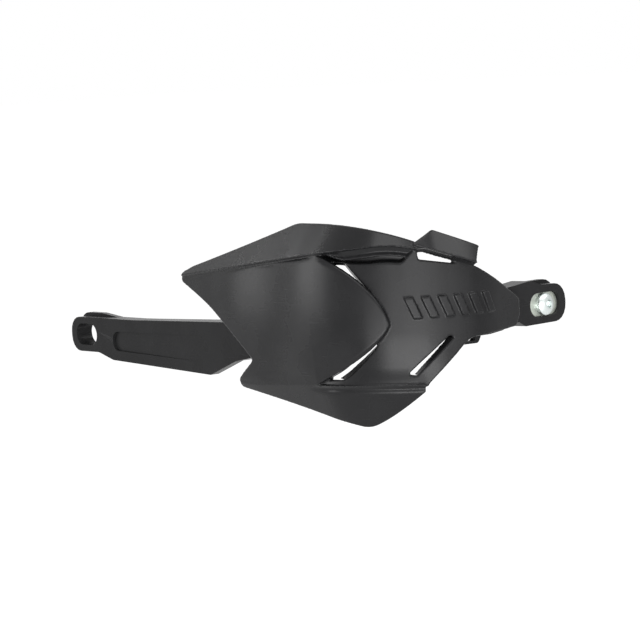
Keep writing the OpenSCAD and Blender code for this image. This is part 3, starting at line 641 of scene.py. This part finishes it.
# Bosses for the screws, each with two gussets. Two stand round the corner, in the middle of a cell
# of the bar's channel, and two along the arm.
corner_cell = corner_r * corner_turn / 6
boss_places = ((reach + corner_cell * 0.5, 0.0), (reach + corner_cell * 3.5, 0.0),
               (arm_s + 18.5, -1.9), (arm_s + 47.5, -4.9))
boss_foot_r, boss_top_r = 5.5, 6.0
ring = np.array([(math.cos(a), math.sin(a))
                 for a in np.linspace(0, 2 * math.pi, 48, endpoint=False)])
for k, (s, z) in enumerate(boss_places):
    base, out = at(s, 0, z), at(s, 1, z) - at(s, 0, z)
    along, rise = at(s + 0.5, 0, z) - at(s - 0.5, 0, z), np.array([0, 0, 0.001])
    top = (body_level(s) if k < 2 else panel_level(s, 0.5)) - wall + 0.8
    additions.append(solid([base + out * h + (along * x + rise * y) * r
                            for h, r in ((0.05, boss_foot_r), (top, boss_top_r))
                            for x, y in ring]))
    for side in (-1, 1):
        additions.append(solid([base + out * h + along * (x + side * d) + rise * y
                                for h, d in ((1.5, 3.7), (2.5, 3.7), (top - 2, 6.5),
                                             (top - 0.5, 6.5))
                                for x in (0, 1) for y in (-1, 1)]))
combined(shield_piece, additions, "UNION")

# The mould's edges are eased: a fine skin is drawn over the form and rounded where it turns
skin_cell_mm, ease_rounds, kept_share = 0.62, 3, 0.47
form = bpy.data.objects.new("form", shield_piece.data.copy())
bpy.context.scene.collection.objects.link(form)
skin = shield_piece.modifiers.new("skin", "REMESH")
skin.mode, skin.voxel_size = "VOXEL", skin_cell_mm * 0.001
eased = shield_piece.modifiers.new("eased", "SMOOTH")
eased.factor, eased.iterations = 0.5, ease_rounds
back_on = shield_piece.modifiers.new("back on the form", "SHRINKWRAP")
back_on.target, back_on.wrap_method = form, "NEAREST_SURFACEPOINT"
softened = shield_piece.modifiers.new("softened", "SMOOTH")
softened.factor, softened.iterations = 0.5, ease_rounds
thinned = shield_piece.modifiers.new("thinned", "DECIMATE")
thinned.ratio = kept_share
settled(shield_piece)
bpy.data.objects.remove(form)
soft_nylon = plastic("tough nylon", (0.009, 0.009, 0.0095), 0.12, 0.27, 0.3, 0.005)
shield_piece.name = shield_piece.data.name = "moulded_shield"
shield_piece.data.shade_smooth()
# The joins leave an empty material slot
shield_piece.data.materials.clear()
shield_piece.data.materials.append(soft_nylon)
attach(shield_piece, "root")
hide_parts("shield")


# The shield's four screws with their washers. They are zinc-plated, and are driven from inside
# the bar's channel into the bosses.
for k in range(1, 5):
    finish_solid(f"shield_screw_{k}", zinc_plate, 0.2)
    finish_solid(f"shield_washer_{k}", zinc_plate, 0.12)


# The studio. A white floor well below the guard and a white surround, with soft boxes in front and
# above that draw the broad highlights on the shield.
bpy.context.scene.view_settings.view_transform = "Standard"
middle = Vector((-0.13, -0.09, 0.0))
world_light, floor_grey, floor_glow = 0.35, 0.45, 0.87
floor_z, floor_half = -0.30, 20


def seen_background(nodes, links):
    """One for rays from the camera and for reflected or refracted rays, and nought for light."""
    path = nodes.new("ShaderNodeLightPath")
    seen = nodes.new("ShaderNodeMath")
    seen.operation = "MAXIMUM"
    also = nodes.new("ShaderNodeMath")
    also.operation = "MAXIMUM"
    links.new(path.outputs["Is Camera Ray"], seen.inputs[0])
    links.new(path.outputs["Is Glossy Ray"], seen.inputs[1])
    links.new(seen.outputs["Value"], also.inputs[0])
    links.new(path.outputs["Is Transmission Ray"], also.inputs[1])
    return also.outputs["Value"]


surround = bpy.data.worlds.new("surround")
surround.use_nodes = True
bpy.context.scene.world = surround
nodes, links = surround.node_tree.nodes, surround.node_tree.links
light = nodes["Background"]
strength = nodes.new("ShaderNodeMapRange")
strength.inputs["To Min"].default_value = world_light
strength.inputs["To Max"].default_value = 1.0
links.new(seen_background(nodes, links), strength.inputs["Value"])
light.inputs["Color"].default_value = (1.0, 1.0, 1.0, 1.0)
links.new(strength.outputs["Result"], light.inputs["Strength"])

floor_mesh = bpy.data.meshes.new("floor")
floor_mesh.from_pydata([(x * floor_half, y * floor_half, floor_z)
                        for x, y in ((-1, -1), (1, -1), (1, 1), (-1, 1))], [], [(0, 1, 2, 3)])
floor = bpy.data.objects.new("floor", floor_mesh)
bpy.context.scene.collection.objects.link(floor)
paint = bpy.data.materials.new("white floor")
paint.use_nodes = True
nodes, links = paint.node_tree.nodes, paint.node_tree.links
matt = nodes["Principled BSDF"]
matt.inputs["Base Color"].default_value = (floor_grey, floor_grey, floor_grey, 1.0)
matt.inputs["Roughness"].default_value = 1.0
matt.inputs["Specular IOR Level"].default_value = 0.0
glow = nodes.new("ShaderNodeEmission")
level = nodes.new("ShaderNodeMath")
level.operation = "MULTIPLY"
level.inputs[1].default_value = floor_glow
links.new(seen_background(nodes, links), level.inputs[0])
links.new(level.outputs["Value"], glow.inputs["Strength"])
both = nodes.new("ShaderNodeAddShader")
links.new(matt.outputs["BSDF"], both.inputs[0])
links.new(glow.outputs["Emission"], both.inputs[1])
links.new(both.outputs["Shader"], nodes["Material Output"].inputs["Surface"])
floor_mesh.materials.append(paint)


def soft_box(name, bearing, height, wide, tall, radiance, far=1.5):
    """A soft box that faces the guard. Its bearing from -X towards -Y, its height over the horizon
    and how wide and tall it looks are angles in degrees, as seen from the guard."""
    data = bpy.data.lights.new(name, "AREA")
    data.shape = "RECTANGLE"
    data.size, data.size_y = (2 * far * math.tan(math.radians(spread / 2))
                              for spread in (wide, tall))
    data.energy = radiance * math.pi * data.size * data.size_y
    lamp = bpy.data.objects.new(name, data)
    bpy.context.scene.collection.objects.link(lamp)
    a, e = math.radians(bearing), math.radians(height)
    lamp.location = middle + far * Vector((-math.cos(a) * math.cos(e), -math.sin(a) * math.cos(e),
                                           math.sin(e)))
    lamp.rotation_euler = (lamp.location - middle).to_track_quat("Z", "Y").to_euler()
    lamp.visible_camera = False


soft_box("front box", 43, 12, 32, 30, 5.6)
soft_box("brow box", 7, 32, 4, 5, 18)
soft_box("top box", 125, 65, 40, 18, 7)
soft_box("right top box", 203, 44, 34, 24, 6)
# The right low box fades out upwards and to its sides
for height, tall, radiance in ((-8, 4, 6), (-12, 4, 11), (-18, 8, 15)):
    for bearing, wide, share in ((106, 10, 0.5), (130, 38, 1), (155, 12, 0.5)):
        soft_box("right low box", bearing, height, wide, tall, radiance * share, 0.78)
# The right front box is brightest in its middle
for bearing, wide, radiance in ((105, 10, 2), (117, 14, 3.6), (145, 40, 5.5), (173, 14, 4),
                                (187, 14, 2.2)):
    soft_box("right front box", bearing, 0, wide, 15, radiance)
